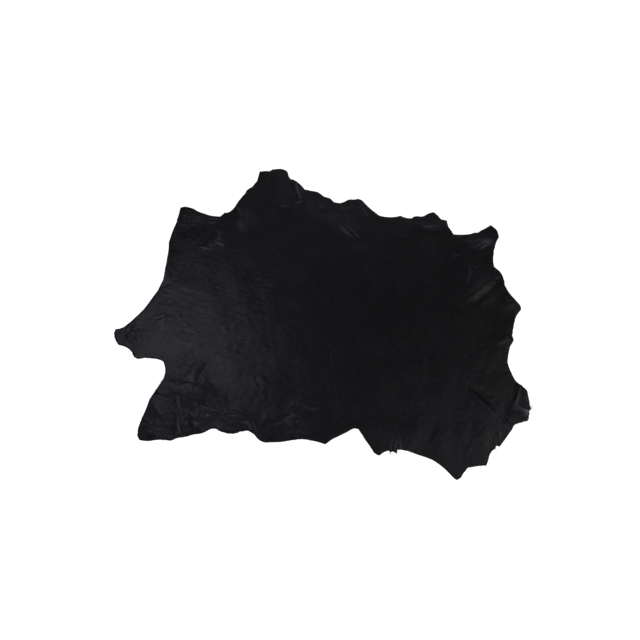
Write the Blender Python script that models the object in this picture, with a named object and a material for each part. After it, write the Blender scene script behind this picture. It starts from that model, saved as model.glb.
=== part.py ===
"""A whole leather hide, laid out flat on a surface, with its grain side up.

The neck lies towards -X and the butt towards +X, so the spine runs along X. A leg reaches out at each
corner. "Near" is the -Y half and "far" is the +Y half. The hide is one sheet of even thickness. Its middle
lies flat, and its rim, legs and corners rise off the surface in low folds, swells and cockles.
"""

import math
from collections import namedtuple

import bpy
import numpy as np
from mathutils import Vector
from mathutils.geometry import delaunay_2d_cdt

MM = 0.001

# Driving dimensions, in metres.
THICKNESS = 1.2 * MM
RIM_STEP = 11.0 * MM
WIDE_STEP = 17.0 * MM
FINE_STEP = 9.5 * MM
STEEP_RISE = 2.2 * MM
FLAT_BELOW = 0.12 * MM
COCKLE_HEIGHT = 3.0 * MM
COCKLE_REACH = 62.0 * MM
COCKLE_START = 0.25
COCKLE_FREE_RISE = 4.0 * MM

# The outline runs anticlockwise. Each row ends one stretch of the edge, in millimetres:
# to x, to y, bow of the stretch that ends there (positive bulges outwards).
NECK_EDGE = (
    (-545, 256, 2.0),
    (-533.5, 187, -1.0),
    (-526.5, 113, 1.3),
    (-499, 14, -2.0),
    (-489, -28, -1.0),
    (-490, -66, 0.5),
    (-504, -138, 0.0),
    (-530, -201, -2.0),
    (-552, -216, -2.0),
)
NEAR_NECK_FLAP = (
    (-541, -243, 2.0),
    (-522, -262, 1.0),
    (-498, -264, -1.0),
    (-472, -282, -2.7),
    (-442, -284.5, 6.0),
    (-409, -278, -1.0),
    (-388, -281, -1.0),
)
NEAR_FORE_LEG = (
    (-366.5, -334, -6.0),
    (-368.5, -350, 0.3),
    (-378.5, -396, 0.8),
    (-376.5, -460, -1.0),
    (-368, -496, 1.5),
    (-359, -504.5, 1.0),
    (-334.5, -501, 0.5),
    (-298, -490, -1.0),
    (-283, -488, 2.0),
    (-273, -479, 0.0),
    (-236.5, -458.5, 1.0),
    (-203.5, -437, 3.0),
)
NEAR_BELLY = (
    (-190, -431.5, -2.3),
    (-139, -432, 4.8),
    (-110, -418, -2.6),
    (-84, -430, -2.5),
    (-48, -432.5, 5.5),
    (0, -415, 1.7),
    (34, -405.5, -1.2),
    (81, -406, -1.4),
    (96.5, -387, 0.0),
    (134.5, -352.5, 0.6),
    (151, -348, -2.4),
    (201, -399, -0.3),
)
NEAR_HIND_LEG = (
    (214.5, -402.5, 0.8),
    (232.5, -384.5, -1.8),
    (238, -388.5, 0.0),
    (243, -384, 0.0),
    (253.5, -388, 0.0),
    (253, -378, 0.0),
    (300, -378.5, -2.4),
    (340, -383.5, -0.6),
    (392.5, -414.5, -2.8),
    (401.5, -419, 0.5),
    (414, -400, 2.6),
    (423.5, -382, 0.0),
    (464.5, -367.5, -1.0),
    (469.5, -341, 0.6),
    (482.5, -316.5, -2.0),
    (482.5, -310, 0.0),
    (492, -309.5, 0.0),
)
BUTT = (
    (516.5, -257.5, 0.0),
    (522.5, -243, -1.2),
    (551, -228, -0.8),
    (554, -194, 0.6),
    (559, -189, 0.0),
    (556, -182, 0.0),
    (543.5, -137.5, 1.5),
    (514, -113.5, -1.2),
    (490.5, -65, -2.0),
    (493, -12.5, -1.2),
    (500, 2.5, 0.0),
    (498.5, 18, 1.0),
    (495, 19, 0.0),
    (498, 65, -1.0),
    (511.5, 114, -3.4),
    (508.5, 130.5, 1.8),
    (461, 193, -3.6),
    (443, 239, 3.4),
    (425, 253.5, 0.0),
)
FAR_HIND_LEG = (
    (419, 302, -1.5),
    (428, 371, -2.3),
    (418, 400, 2.0),
    (401, 414.5, 0.0),
    (383.5, 393.5, 0.0),
    (366.5, 375, 1.9),
    (350, 368, 1.8),
    (303, 352, -1.7),
    (295.5, 350.5, 0.0),
    (266.5, 399.5, -3.1),
    (251, 402, -1.7),
    (223.5, 427, 1.6),
)
FAR_BELLY = (
    (203.5, 411, 1.7),
    (179, 398.5, -3.6),
    (162, 386, 3.4),
    (134.5, 385.5, -1.8),
    (126.5, 389, 0.0),
    (88, 373, -2.4),
    (62, 374.5, -1.0),
    (1, 421, -2.9),
    (-16, 428.5, 2.0),
    (-40, 420, -2.0),
    (-66, 397, 0.0),
    (-100, 407.5, -6.0),
    (-122, 412, 0.8),
    (-150, 427.5, 0.7),
    (-189, 427.5, 1.0),
)
FAR_FORE_LEG = (
    (-238, 462.5, 2.4),
    (-246.5, 462.5, 0.0),
    (-264.5, 492.5, -1.3),
    (-291, 502, 2.8),
    (-316, 492.5, 0.0),
    (-321, 481, -0.5),
    (-353.5, 472, 0.0),
    (-349, 432, -0.6),
    (-366.5, 382.5, -3.8),
    (-367.5, 366.5, 0.0),
    (-381, 301, 1.8),
    (-401, 269, -5.0),
)
FAR_NECK_FLAP = (
    (-403.5, 271, 0.0),
    (-408, 262, 0.0),
    (-412.5, 251, 0.0),
    (-477.5, 251.5, -4.0),
    (-502.5, 262, -1.2),
    (-533.5, 264.5, 1.3),
)
OUTLINE = (
    NECK_EDGE
    + NEAR_NECK_FLAP
    + NEAR_FORE_LEG
    + NEAR_BELLY
    + NEAR_HIND_LEG
    + BUTT
    + FAR_HIND_LEG
    + FAR_BELLY
    + FAR_FORE_LEG
    + FAR_NECK_FLAP
)

# Folds that run along a line, in millimetres: height, full width, and the line's own points.
Fold = namedtuple("Fold", "height width line")
FOLDS = {
    "far shoulder arc": Fold(3.2, 40, ((-275, 352), (-188, 334), (-108, 314), (-42, 303), (6, 262))),
    "far belly crease": Fold(3.0, 34, ((-50, 372), (-30, 335), (-10, 304), (22, 266))),
    "far fore leg ridge": Fold(9.0, 30, ((-226, 452), (-216, 424), (-204, 406), (-188, 376), (-180, 350))),
    "far fore leg band": Fold(4.0, 46, ((-304, 462), (-293, 400), (-286, 330), (-290, 286))),
    "far neck corner": Fold(6.0, 40, ((-368, 316), (-352, 280), (-334, 246), (-318, 222))),
    "far flank edge": Fold(5.0, 38, ((176, 368), (206, 362), (254, 361), (288, 370))),
    "far hind leg fold": Fold(7.0, 34, ((338, 322), (372, 332), (404, 351), (426, 348))),
    "far hind leg back": Fold(3.5, 40, ((352, 206), (366, 228), (388, 262), (394, 300))),
    "butt flank ridge": Fold(9.0, 48, ((366, 112), (388, 138), (408, 168), (430, 208))),
    "butt far tip": Fold(6.0, 40, ((458, 118), (480, 134), (506, 144))),
    "butt middle": Fold(4.5, 44, ((458, 2), (478, 4), (504, 6))),
    "near butt corner": Fold(9.0, 28, ((534, -130), (526, -163), (520, -196), (514, -232))),
    "near butt tip": Fold(8.0, 34, ((528, -208), (542, -214), (560, -226))),
    "valley upper side": Fold(5.0, 48, ((412, -126), (450, -142), (486, -162), (508, -196))),
    "valley lower side": Fold(5.0, 48, ((398, -172), (440, -200), (470, -228), (494, -262))),
    "near hind leg back": Fold(4.0, 52, ((440, -262), (446, -310), (436, -360))),
    "near hind leg front": Fold(3.5, 50, ((298, -270), (286, -320), (262, -372))),
    "near belly crease": Fold(4.5, 32, ((-214, -387), (-176, -388), (-140, -385), (-104, -402))),
    "near belly arc": Fold(3.0, 32, ((-22, -336), (0, -356), (24, -378))),
    "near fore leg step": Fold(6.5, 72, ((-386, -346), (-330, -350), (-268, -346), (-206, -362))),
    "near fore leg streak": Fold(5.0, 30, ((-296, -412), (-282, -440), (-266, -474))),
    "near shoulder crease": Fold(4.0, 40, ((-290, -252), (-297, -288), (-292, -326))),
    "near rib crease": Fold(2.5, 32, ((-146, -262), (-122, -280), (-100, -304))),
    "near neck flap": Fold(3.5, 30, ((-500, -204), (-496, -222), (-502, -246))),
    "neck edge": Fold(4.5, 46, ((-494, 38), (-487, 4), (-486, -34))),
    "far neck pleat": Fold(2.5, 34, ((-418, 108), (-398, 150), (-376, 188))),
}

# Single rounded swells, in millimetres and degrees: x, y, height, length, breadth, turn of the length from +X.
SWELLS = (
    (-338, -424, 5.0, 56, 38, 20),
    (-322, -481, 5.0, 48, 34, 70),
    (-244, -428, 5.0, 52, 36, 30),
    (-228, -402, 3.5, 44, 32, 0),
    (-303, -388, 4.5, 52, 34, 60),
    (-350, -462, 4.0, 44, 34, 100),
    (311, 264, 5.0, 60, 44, 40),
    (-450, -140, 3.0, 70, 40, 30),
    (268, 391, 5.0, 50, 34, 110),
    (-120, 362, 3.5, 70, 44, 10),
    (408, 388, 4.0, 52, 40, 60),
    (-330, 470, 4.0, 60, 40, 10),
    (404, -300, 3.5, 90, 40, 104),
    (350, -330, 3.0, 90, 44, 104),
)

# Waves that cockle the rim: length along X, length along Y (millimetres), phase (radians).
COCKLE_WAVES = ((164, 231, 0.6), (-207, 139, 2.1), (97, -181, 4.0))

Mesh2D = namedtuple("Mesh2D", "points faces")


def bowed(start, end, bow):
    """The points of one stretch after its start: a parabola that stands `bow` off the straight line."""
    run = end - start
    length = float(np.linalg.norm(run))
    outward = np.array((run[1], -run[0])) / length
    steps = max(1, round(length / RIM_STEP))
    shares = np.arange(1, steps + 1)[:, None] / steps
    return start + run * shares + outward * (4.0 * bow * shares * (1.0 - shares))


def rim_points():
    """The outline as a closed ring of points, in metres, centred on its own box."""
    rows = np.array(OUTLINE, dtype=float) * MM
    stretches = []
    for before, row in zip(np.roll(rows, 1, axis=0), rows):
        stretches.append(bowed(before[:2], row[:2], row[2]))
    ring = np.concatenate(stretches)
    centre = (ring.min(axis=0) + ring.max(axis=0)) / 2.0
    return ring - centre, centre


def through(points, step):
    """A smooth Catmull-Rom line through the points, with one sample about every `step`."""
    points = np.asarray(points, dtype=float)
    padded = np.vstack((2 * points[0] - points[1], points, 2 * points[-1] - points[-2]))
    samples = []
    for a, b, c, d in zip(padded, padded[1:], padded[2:], padded[3:]):
        count = max(2, round(float(np.linalg.norm(c - b)) / step))
        t = (np.arange(count) / count)[:, None]
        samples.append(
            0.5 * (2 * b + (c - a) * t + (2 * a - 5 * b + 4 * c - d) * t**2 + (3 * b - a - 3 * c + d) * t**3)
        )
    return np.vstack((*samples, points[-1]))


def off_line(points, line):
    """For each point: its distance from the line, and how far along the line it lies, from 0 to 1."""
    starts = line[:-1]
    runs = line[1:] - starts
    lengths = np.linalg.norm(runs, axis=1)
    before = np.concatenate(((0.0,), np.cumsum(lengths)))
    offsets = points[:, None, :] - starts
    share = np.clip((offsets * runs).sum(axis=2) / lengths**2, 0.0, 1.0)
    gaps = np.linalg.norm(offsets - share[..., None] * runs, axis=2)
    nearest = gaps.argmin(axis=1)
    rows = np.arange(len(points))
    along = (before[nearest] + share[rows, nearest] * lengths[nearest]) / before[-1]
    return gaps[rows, nearest], along


def hump(distance):
    """A round-topped hump: 1 in the middle and exactly 0 from a distance of 1 outwards."""
    return np.cos(0.5 * math.pi * np.clip(distance, 0.0, 1.0)) ** 2


def fold_heights(points, centre):
    """The height of every line fold over the points; each fades out at its two ends."""
    total = np.zeros(len(points))
    for fold in FOLDS.values():
        line = through(np.array(fold.line, dtype=float) * MM - centre, 8.0 * MM)
        gap, along = off_line(points, line)
        ends = np.sin(math.pi * np.clip(0.12 + 0.76 * along, 0.0, 1.0))
        total = np.maximum(total, fold.height * MM * ends * hump(gap / (0.5 * fold.width * MM)))
    return total


def swell_heights(points, centre):
    """The height of the single swells, each an oval hump turned to its own direction."""
    total = np.zeros(len(points))
    for x, y, height, length, breadth, turn in SWELLS:
        angle = math.radians(turn)
        away = points + centre - np.array((x, y)) * MM
        along = away @ np.array((math.cos(angle), math.sin(angle))) / (0.5 * length * MM)
        across = away @ np.array((-math.sin(angle), math.cos(angle))) / (0.5 * breadth * MM)
        total = np.maximum(total, height * MM * hump(np.hypot(along, across)))
    return total


def cockle_heights(points, ring):
    """Low waves along the rim, which die out towards the middle of the hide."""
    wave = np.zeros(len(points))
    for along_x, along_y, phase in COCKLE_WAVES:
        turns = points[:, 0] / (along_x * MM) + points[:, 1] / (along_y * MM)
        wave += np.sin(2.0 * math.pi * turns + phase) / len(COCKLE_WAVES)
    gap, _ = off_line(points, np.vstack((ring, ring[:1])))
    crest = np.clip(wave - COCKLE_START, 0.0, None) / (1.0 - COCKLE_START)
    return COCKLE_HEIGHT * crest * hump(gap / COCKLE_REACH)


def heights(points, ring, centre):
    """How far the underside stands off the surface at each point; exactly 0 where the hide lies flat."""
    rise = np.maximum(fold_heights(points, centre), swell_heights(points, centre))
    room = 1.0 - hump(1.0 - rise / COCKLE_FREE_RISE)
    rise = rise + room * cockle_heights(points, ring)
    return np.where(rise < FLAT_BELOW, 0.0, rise)


def inside(points, ring):
    """True for each point that the ring encloses."""
    x, y = points[:, 0, None], points[:, 1, None]
    x0, y0 = ring.T
    x1, y1 = np.roll(ring, -1, axis=0).T
    spans = (y0 > y) != (y1 > y)
    rise = np.where(y1 == y0, 1.0, y1 - y0)
    crosses = x < x0 + (y - y0) * (x1 - x0) / rise
    return (spans & crosses).sum(axis=1) % 2 == 1


def lattice(step, ring):
    """A triangular lattice of points inside the ring, none closer to it than about half a step."""
    low, high = ring.min(axis=0), ring.max(axis=0)
    rows = np.arange(low[1], high[1], step * math.sqrt(0.75))
    columns = np.arange(low[0], high[0], step)
    grid_x, grid_y = np.meshgrid(columns, rows)
    grid_x = grid_x + 0.5 * step * (np.arange(len(rows)) % 2)[:, None]
    points = np.column_stack((grid_x.ravel(), grid_y.ravel()))
    points = points[inside(points, ring)]
    gap, _ = off_line(points, np.vstack((ring, ring[:1])))
    return points[gap > 0.55 * step]


def bend(points, ring, centre, reach):
    """How much the sheet's height changes within `reach` of each point."""
    spread = [heights(points + reach * np.array(way), ring, centre) for way in ((1, 0), (-1, 0), (0, 1), (0, -1))]
    spread.append(heights(points, ring, centre))
    return np.max(spread, axis=0) - np.min(spread, axis=0)


def sheet_points(ring, centre):
    """Inner points: a wide lattice where the sheet rises gently, a fine one on the steeper folds."""
    wide = lattice(WIDE_STEP, ring)
    wide = wide[bend(wide, ring, centre, 0.6 * WIDE_STEP) > 0.0]
    fine = lattice(FINE_STEP, ring)
    fine = fine[bend(fine, ring, centre, 0.9 * FINE_STEP) > STEEP_RISE]
    gap = np.linalg.norm(wide[:, None, :] - fine[None, :, :], axis=2).min(axis=1)
    return np.vstack((fine, wide[gap > 0.6 * WIDE_STEP]))


def triangulated(ring, inner):
    """The ring filled with triangles through the inner points."""
    points = [Vector(point) for point in np.vstack((ring, inner))]
    edges = [(i, (i + 1) % len(ring)) for i in range(len(ring))]
    verts, _, faces, _, _, _ = delaunay_2d_cdt(points, edges, [], 1, 1e-6)
    return Mesh2D(np.array([tuple(vert) for vert in verts]), faces)


def leather():
    """Black, softly shining leather."""
    material = bpy.data.materials.new("black_leather")
    material.use_nodes = True
    shader = material.node_tree.nodes["Principled BSDF"]
    shader.inputs["Base Color"].default_value = (0.012, 0.0115, 0.0125, 1.0)
    shader.inputs["Roughness"].default_value = 0.48
    shader.inputs["Metallic"].default_value = 0.0
    return material


def hide():
    """The hide: its underside as one surface of triangles, thickened upwards into a closed sheet."""
    ring, centre = rim_points()
    plan = triangulated(ring, sheet_points(ring, centre))
    rise = heights(plan.points, ring, centre)
    mesh = bpy.data.meshes.new("hide")
    mesh.from_pydata(np.column_stack((plan.points, rise)).tolist(), [], plan.faces)
    mesh.materials.append(leather())
    mesh.shade_smooth()
    sheet = bpy.data.objects.new("hide", mesh)
    bpy.context.scene.collection.objects.link(sheet)
    thicken = sheet.modifiers.new("Thickness", "SOLIDIFY")
    thicken.thickness = THICKNESS
    thicken.offset = 1.0
    thicken.use_even_offset = False
    return sheet


for old in list(bpy.data.objects):
    bpy.data.objects.remove(old, do_unlink=True)
hide()
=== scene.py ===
"""The looks of one whole black leather hide that lies flat, grain side up.

The hide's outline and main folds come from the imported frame. Here they become one fine sheet with soft
creases, a pebbled grain, a raw cut edge and a suede flesh side, and loose fibres along its ragged rim.
"""

import math

import bmesh
import bpy
import numpy as np
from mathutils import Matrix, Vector
from mathutils.bvhtree import BVHTree
from mathutils.geometry import delaunay_2d_cdt
from mathutils.kdtree import KDTree


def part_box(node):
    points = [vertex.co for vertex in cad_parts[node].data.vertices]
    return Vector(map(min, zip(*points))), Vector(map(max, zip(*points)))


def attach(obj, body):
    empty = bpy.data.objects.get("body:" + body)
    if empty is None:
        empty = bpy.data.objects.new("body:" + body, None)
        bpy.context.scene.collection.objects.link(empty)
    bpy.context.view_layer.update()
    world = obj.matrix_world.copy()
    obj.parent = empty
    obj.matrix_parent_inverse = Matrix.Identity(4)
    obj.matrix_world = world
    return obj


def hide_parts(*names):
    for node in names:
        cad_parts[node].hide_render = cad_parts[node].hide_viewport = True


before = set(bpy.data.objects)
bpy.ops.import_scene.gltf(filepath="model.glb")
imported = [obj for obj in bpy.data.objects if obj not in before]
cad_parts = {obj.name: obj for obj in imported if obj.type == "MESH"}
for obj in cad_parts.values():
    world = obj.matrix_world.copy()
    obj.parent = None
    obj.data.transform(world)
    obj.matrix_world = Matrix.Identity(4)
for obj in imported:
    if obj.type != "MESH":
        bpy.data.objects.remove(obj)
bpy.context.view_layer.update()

bl_info = {
    "name": "Leather hide",
    "version": (1, 0, 0),
    "blender": (4, 5, 0),
    "location": "View3D > Sidebar > Hide",
    "description": "Lays a whole black leather hide over its packed frame, with its edge fibres and a studio",
    "category": "Object",
}

MM = 0.001
BODY = "root"
NODE = "hide"
HIDE_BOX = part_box(NODE)

# The finished pieces, and the sheet's material slots in their order.
HIDE, FIBRES = "leather_hide", "rim_fibres"
GRAIN_SIDE, CUT_EDGE, FLESH_SIDE = range(3)

# The middle of the hide's box in the cutting drawing that the creases are placed in, in millimetres.
DRAWING_CENTRE = np.array((3.5, -1.25))
# A ridge this high, in millimetres, gets the full painted highlight along its crest.
FULL_RIDGE = 2.4
# Crumples this high, in millimetres, are creased as finely as any.
FULL_CRUMPLE = 0.5
# What the rim's wander adds to the hide's seed.
RIM_CHANCE = 40

# Creases, by region. Each row: height (ridges +, troughs -), full width, then the line's points, all in mm.
CREASES = {
    "far fore leg": (
        (2.6, 9, (-220, 442), (-213, 419), (-205, 403), (-190, 383)),
        (-1.4, 9, (-226, 418), (-216, 402), (-202, 385)),
        (-0.9, 8, (-206, 430), (-195, 410), (-183, 388)),
        (0.8, 8, (-231, 448), (-226, 436), (-221, 426)),
        (0.8, 8, (-208, 366), (-194, 367), (-178, 369)),
        (-0.8, 8, (-207, 357), (-190, 355), (-172, 357)),
        (-2.4, 46, (-304, 462), (-293, 400), (-286, 330), (-290, 286)),
        (0.7, 9, (-248, 339), (-235, 339), (-222, 342)),
        (0.6, 9, (-243, 357), (-230, 357), (-218, 352)),
    ),
    "far belly": (
        (0.9, 10, (-130, 356), (-120, 360), (-106, 361)),
        (-0.7, 9, (-150, 350), (-140, 353), (-132, 351)),
        (0.6, 7, (-92, 330), (-80, 323), (-68, 328)),
        (-0.6, 6, (-88, 322), (-76, 314), (-64, 318)),
        (0.5, 6, (-84, 309), (-74, 305), (-66, 309)),
        (1.4, 7, (-48, 300), (-30, 289), (-14, 278), (4, 262)),
        (-1.5, 8, (-46, 289), (-28, 278), (-10, 266)),
        (1.2, 8, (-24, 304), (-6, 291), (9, 279), (24, 264)),
        (-1.2, 8, (-30, 297), (-12, 284), (6, 270)),
        (0.6, 9, (-44, 372), (-34, 345), (-22, 320), (-12, 298)),
        (1.3, 8, (-4, 404), (7, 388), (20, 370), (32, 354)),
        (-0.7, 7, (-8, 402), (2, 386), (14, 369)),
        (-0.7, 7, (-33, 410), (-22, 401), (-12, 398), (-4, 404)),
        (0.5, 7, (-37, 397), (-25, 390), (-12, 389)),
    ),
    "far neck": (
        (1.1, 8, (-386, 147), (-375, 146), (-362, 143)),
        (-1.0, 9, (-391, 154), (-378, 155), (-367, 156)),
        (-0.7, 8, (-383, 137), (-370, 136)),
        (0.8, 8, (-434, 118), (-418, 120), (-401, 120)),
        (0.9, 13, (-402, 197), (-393, 180), (-380, 160)),
        (-1.0, 9, (-405, 162), (-400, 150), (-396, 141)),
        (0.7, 9, (-412, 158), (-408, 146), (-404, 134)),
        (-0.6, 7, (-415, 187), (-407, 172), (-399, 160)),
        (0.7, 9, (-442, 236), (-424, 238), (-409, 238)),
        (-0.8, 8, (-440, 229), (-424, 231), (-407, 229)),
        (0.7, 8, (-439, 222), (-428, 221), (-415, 224)),
        (1.5, 10, (-376, 301), (-364, 287), (-350, 264)),
        (0.6, 8, (-332, 270), (-326, 252), (-321, 234)),
        (-0.8, 9, (-360, 300), (-349, 284), (-338, 264)),
        (0.5, 12, (-488, 202), (-478, 201), (-468, 201)),
        (-0.5, 7, (-527, 230), (-521, 214), (-512, 196)),
        (0.5, 7, (-521, 232), (-515, 216), (-507, 199)),
        (0.4, 7, (-427, 181), (-421, 171)),
    ),
    "near neck": (
        (1.5, 8, (-495, 12), (-488, -4), (-484, -24)),
        (-0.8, 9, (-515, -223), (-511, -212), (-500, -206), (-491, -212), (-487, -226), (-489, -242)),
        (1.2, 9, (-508, -230), (-501, -217), (-495, -224)),
        (1.4, 10, (-484, -223), (-476, -234), (-466, -241)),
        (-0.7, 8, (-527, -205), (-525, -216), (-527, -229)),
        (0.7, 7, (-532, -204), (-531, -216), (-533, -227)),
        (1.1, 9, (-480, -195), (-471, -202), (-471, -215)),
        (0.8, 8, (-464, -154), (-450, -145), (-434, -131)),
        (-0.6, 7, (-458, -161), (-444, -151), (-430, -141)),
        (0.6, 7, (-452, -165), (-438, -155), (-426, -146)),
        (-0.6, 10, (-438, -128), (-429, -148), (-422, -170)),
        (-0.5, 16, (-428, -47), (-412, -50), (-396, -54)),
        (-0.5, 14, (-480, -62), (-462, -64), (-450, -62)),
        (0.5, 12, (-406, -128), (-398, -136), (-390, -142)),
        (0.5, 12, (-372, -157), (-358, -162), (-346, -160)),
        (0.5, 12, (-350, -168), (-336, -176), (-326, -181)),
        (-0.5, 12, (-366, -203), (-354, -204), (-344, -201)),
        (-0.5, 12, (-390, -182), (-380, -188), (-368, -196)),
    ),
    "near shoulder": (
        (-0.9, 10, (-271, -258), (-279, -285), (-280, -310), (-276, -336)),
        (1.1, 12, (-307, -333), (-294, -330), (-286, -341)),
        (1.1, 11, (-291, -323), (-285, -336), (-282, -348)),
        (0.8, 13, (-267, -300), (-263, -312), (-269, -326)),
        (0.8, 12, (-312, -306), (-298, -315), (-287, -319)),
        (0.5, 14, (-352, -290), (-340, -300), (-330, -296)),
    ),
    "near fore leg": (
        (-1.0, 8, (-373, -377), (-350, -380), (-330, -379)),
        (-0.9, 9, (-304, -370), (-297, -384), (-290, -399)),
        (1.4, 9, (-310, -377), (-302, -390), (-296, -403)),
        (1.2, 9, (-291, -399), (-286, -410), (-279, -417)),
        (-1.3, 9, (-264, -370), (-248, -377), (-231, -380)),
        (1.8, 16, (-254, -425), (-244, -430), (-234, -428)),
        (1.4, 13, (-234, -396), (-224, -399), (-216, -402)),
        (1.2, 11, (-240, -402), (-234, -410)),
        (1.0, 13, (-246, -391), (-236, -393)),
        (-1.6, 14, (-208, -402), (-209, -416), (-203, -426)),
        (-1.6, 10, (-266, -403), (-262, -416), (-269, -429)),
        (2.3, 9, (-287, -438), (-278, -452), (-269, -466)),
        (-1.8, 9, (-277, -435), (-268, -448), (-261, -457)),
        (-2.0, 12, (-300, -452), (-290, -464), (-284, -478)),
        (-1.2, 9, (-360, -442), (-346, -442), (-334, -441), (-320, -448)),
        (-1.2, 8, (-376, -456), (-358, -459), (-340, -464), (-324, -471)),
        (1.0, 10, (-367, -449), (-356, -456), (-345, -461)),
        (1.2, 10, (-327, -477), (-320, -484), (-314, -489)),
        (0.9, 10, (-341, -424), (-332, -424), (-325, -419)),
        (0.8, 10, (-331, -408), (-322, -414), (-315, -421)),
        (0.9, 9, (-262, -380), (-254, -386), (-256, -397)),
        (-0.9, 9, (-274, -390), (-266, -398), (-258, -404)),
        (1.0, 9, (-226, -436), (-220, -441), (-212, -440)),
    ),
    "near belly": (
        (-1.3, 8, (-215, -378), (-197, -377), (-181, -379)),
        (-1.1, 8, (-179, -373), (-152, -371), (-132, -373)),
        (-1.1, 7, (-188, -384), (-172, -380), (-158, -379)),
        (1.2, 8, (-213, -385), (-198, -384), (-183, -386)),
        (1.3, 8, (-167, -391), (-154, -387), (-140, -384)),
        (-0.9, 7, (-142, -378), (-126, -380), (-116, -376), (-98, -371), (-82, -369)),
        (1.4, 11, (-119, -396), (-112, -404), (-107, -413)),
        (0.9, 9, (-104, -391), (-98, -402), (-91, -411)),
        (0.7, 8, (-122, -392), (-127, -401), (-134, -408)),
        (-1.0, 15, (-67, -384), (-54, -382), (-43, -378)),
        (-0.9, 17, (-41, -373), (-30, -360), (-20, -351)),
        (-1.0, 8, (-19, -340), (-6, -342), (3, -346), (12, -348)),
        (0.8, 8, (-21, -347), (-8, -349), (5, -353), (15, -366)),
        (-0.7, 7, (2, -353), (10, -359), (17, -363)),
        (0.6, 16, (-24, -371), (-14, -379)),
        (-0.9, 7, (-22, -305), (-18, -314), (-17, -328)),
        (0.8, 11, (-25, -310), (-22, -321)),
        (-0.9, 14, (6, -305), (30, -308), (52, -306), (78, -304)),
        (0.5, 16, (2, -317), (22, -321), (46, -318)),
        (-0.7, 13, (-140, -264), (-129, -281), (-117, -292), (-104, -300)),
        (0.3, 14, (-128, -260), (-118, -274), (-104, -285)),
        (0.5, 9, (-30, -404), (-4, -396), (18, -389), (42, -385)),
        (0.5, 9, (-164, -421), (-152, -424), (-142, -423)),
    ),
    "butt": (
        (-2.2, 46, (412, -126), (450, -142), (486, -162), (508, -196)),
        (-2.7, 24, (402, -160), (422, -171), (444, -190), (464, -204)),
        (-1.2, 10, (450, -196), (464, -211), (482, -226)),
        (-2.4, 20, (470, -209), (486, -226), (508, -248), (528, -266)),
        (2.4, 9, (528, -137), (524, -159), (520, -181), (518, -203)),
        (-1.6, 12, (512, -132), (512, -156), (509, -182)),
        (-1.0, 24, (474, -178), (489, -194), (500, -212)),
        (3.8, 32, (532, -198), (547, -206), (564, -218)),
        (-1.0, 9, (536, -146), (534, -164), (528, -186)),
        (-1.4, 12, (549, -172), (539, -180), (530, -189)),
        (1.1, 11, (534, -217), (543, -209), (548, -196)),
        (-5.0, 48, (373, 107), (395, 132), (415, 162), (437, 203)),
        (-1.0, 18, (368, 150), (378, 176), (388, 200)),
        (0.7, 8, (367, 246), (360, 226), (359, 200), (358, 166)),
        (-0.7, 10, (352, 242), (349, 216), (351, 188)),
        (-0.8, 6, (366, 231), (374, 242), (382, 251)),
        (-0.7, 6, (374, 228), (382, 238), (389, 247)),
        (0.6, 6, (370, 229), (378, 240), (386, 249)),
        (1.0, 10, (469, 133), (478, 140), (487, 147)),
        (-2.0, 40, (458, 118), (480, 134), (506, 144)),
        (0.8, 14, (463, -12), (478, 0), (486, 14)),
        (0.6, 12, (484, -255), (487, -272), (492, -292)),
    ),
    "far hind leg": (
        (0.5, 10, (303, 259), (314, 267), (327, 275)),
        (1.1, 11, (198, 358), (220, 362), (238, 368), (253, 371)),
        (-0.8, 11, (184, 374), (192, 366), (196, 358)),
        (-0.8, 11, (206, 352), (226, 352), (246, 356)),
        (0.9, 11, (298, 341), (312, 345), (324, 348)),
        (1.2, 10, (377, 333), (390, 342), (402, 350), (415, 354)),
        (1.1, 10, (379, 311), (384, 320), (393, 329)),
        (-1.0, 10, (369, 341), (384, 351), (397, 359)),
        (0.7, 9, (262, 398), (266, 386), (272, 372)),
        (0.6, 9, (236, 402), (242, 390), (250, 382)),
        (0.6, 12, (130, 372), (140, 376), (152, 374)),
    ),
    "near hind leg": (
        (1.0, 7, (233, -356), (235, -370), (236, -386)),
        (1.6, 7, (249, -354), (248, -368), (249, -386)),
        (1.6, 7, (254, -350), (258, -364), (263, -382)),
        (-1.2, 8, (241, -352), (242, -366), (243, -384)),
        (-0.9, 8, (264, -348), (270, -362), (274, -376)),
        (0.5, 9, (462, -340), (462, -352), (458, -364)),
        (0.4, 12, (432, -298), (426, -326), (417, -356)),
        (-0.4, 14, (446, -300), (442, -326), (436, -352)),
        (-0.3, 16, (340, -280), (332, -310), (324, -346)),
    ),
}

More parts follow.
